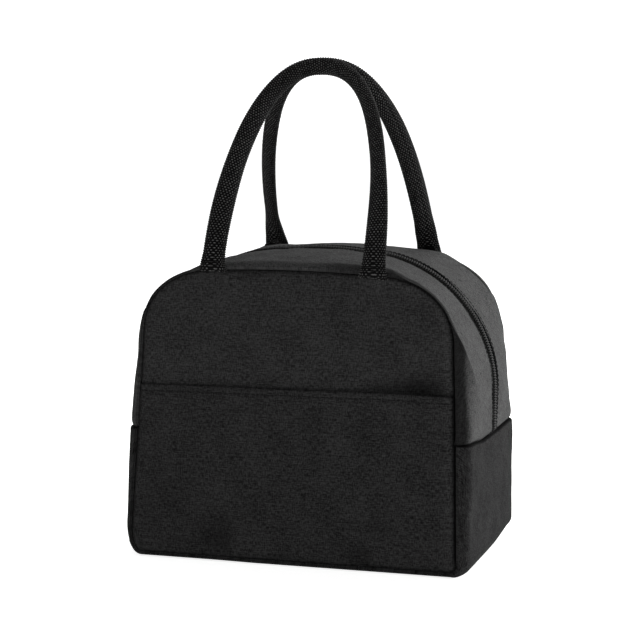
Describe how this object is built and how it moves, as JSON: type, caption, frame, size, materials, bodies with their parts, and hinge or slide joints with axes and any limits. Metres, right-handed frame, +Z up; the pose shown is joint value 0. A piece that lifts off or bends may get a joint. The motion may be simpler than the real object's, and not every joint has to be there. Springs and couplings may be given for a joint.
{
  "type": "lunch box",
  "caption": "Soft insulated lunch bag with rounded shoulders, a zip over the top, a front slip pocket and stand-up webbing handles.",
  "frame": {"origin": "middle of the flat bottom that the bag stands on", "axes": "+Z up, -Y towards the front panel with the slip pocket, +X to the right of someone facing the front"},
  "size_m": [0.2384, 0.1668, 0.3293],
  "materials": {
    "panel_fabric": "matt woven polyester, near black",
    "pocket_fabric": "matt woven polyester, near black",
    "upper_gusset_fabric": "matt woven polyester, charcoal",
    "lower_gusset_fabric": "matt woven polyester, charcoal",
    "foam": "closed-cell polyethylene foam",
    "lining": "silver heat-reflecting film, softly crinkled",
    "binding_tape": "black grosgrain binding",
    "zip_tape": "black woven zip tape",
    "zip_coil": "black nylon coil",
    "zip_metal": "black lacquered zinc",
    "webbing": "coarse black tubular webbing",
    "handle_cord": "soft filler cord"
  },
  "bodies": {
    "base": {"front_panel_outer_lower": "panel_fabric", "front_panel_foam_lower": "foam", "front_panel_lining_lower": "lining", "rear_panel_outer_lower": "panel_fabric", "rear_panel_foam_lower": "foam", "rear_panel_lining_lower": "lining", "base_gusset_outer": "lower_gusset_fabric", "base_gusset_foam": "foam", "base_gusset_lining": "lining", "front_binding_lower": "binding_tape", "rear_binding_lower": "binding_tape", "front_pocket_lower": "pocket_fabric", "zip_end_stops": "zip_coil"},
    "front_half": {"front_panel_outer_upper": "panel_fabric", "front_panel_foam_upper": "foam", "front_panel_lining_upper": "lining", "front_gusset_outer": "upper_gusset_fabric", "front_gusset_foam": "foam", "front_gusset_lining": "lining", "front_zip_tape": "zip_tape", "front_zip_coil": "zip_coil", "front_binding_upper": "binding_tape", "front_pocket_upper": "pocket_fabric", "front_handle_sewn_ends": "webbing"},
    "rear_half": {"rear_panel_outer_upper": "panel_fabric", "rear_panel_foam_upper": "foam", "rear_panel_lining_upper": "lining", "rear_gusset_outer": "upper_gusset_fabric", "rear_gusset_foam": "foam", "rear_gusset_lining": "lining", "rear_zip_tape": "zip_tape", "rear_zip_coil": "zip_coil", "rear_binding_upper": "binding_tape", "rear_handle_sewn_ends": "webbing"},
    "front_handle": {"front_handle_webbing": "webbing", "front_handle_core": "handle_cord"},
    "rear_handle": {"rear_handle_webbing": "webbing", "rear_handle_core": "handle_cord"},
    "zip_slider": {"zip_slider": "zip_metal"},
    "zip_pull": {"zip_pull": "zip_metal"}
  },
  "joints": [
    {"name": "front_opening", "type": "hinge", "parent": "base", "child": "front_half", "pos_m": [0, -0.083, 0.0823], "axis": [1, 0, 0], "range_deg": [0, 20]},
    {"name": "rear_opening", "type": "hinge", "parent": "base", "child": "rear_half", "pos_m": [0, 0.0765, 0.0823], "axis": [-1, 0, 0], "range_deg": [0, 20]},
    {"name": "front_handle_fold", "type": "hinge", "parent": "front_half", "child": "front_handle", "pos_m": [0, -0.078, 0.1925], "axis": [1, 0, 0], "range_deg": [0, 150]},
    {"name": "rear_handle_fold", "type": "hinge", "parent": "rear_half", "child": "rear_handle", "pos_m": [0, 0.078, 0.1925], "axis": [-1, 0, 0], "range_deg": [0, 150]},
    {"name": "slider_travel", "type": "slide", "parent": "base", "child": "zip_slider", "axis": [0, 0, 1], "range_m": [0, 0.03]},
    {"name": "pull_swing", "type": "hinge", "parent": "zip_slider", "child": "zip_pull", "pos_m": [-0.1197, 0, 0.09], "axis": [0, 1, 0], "range_deg": [0, 170]}
  ]
}
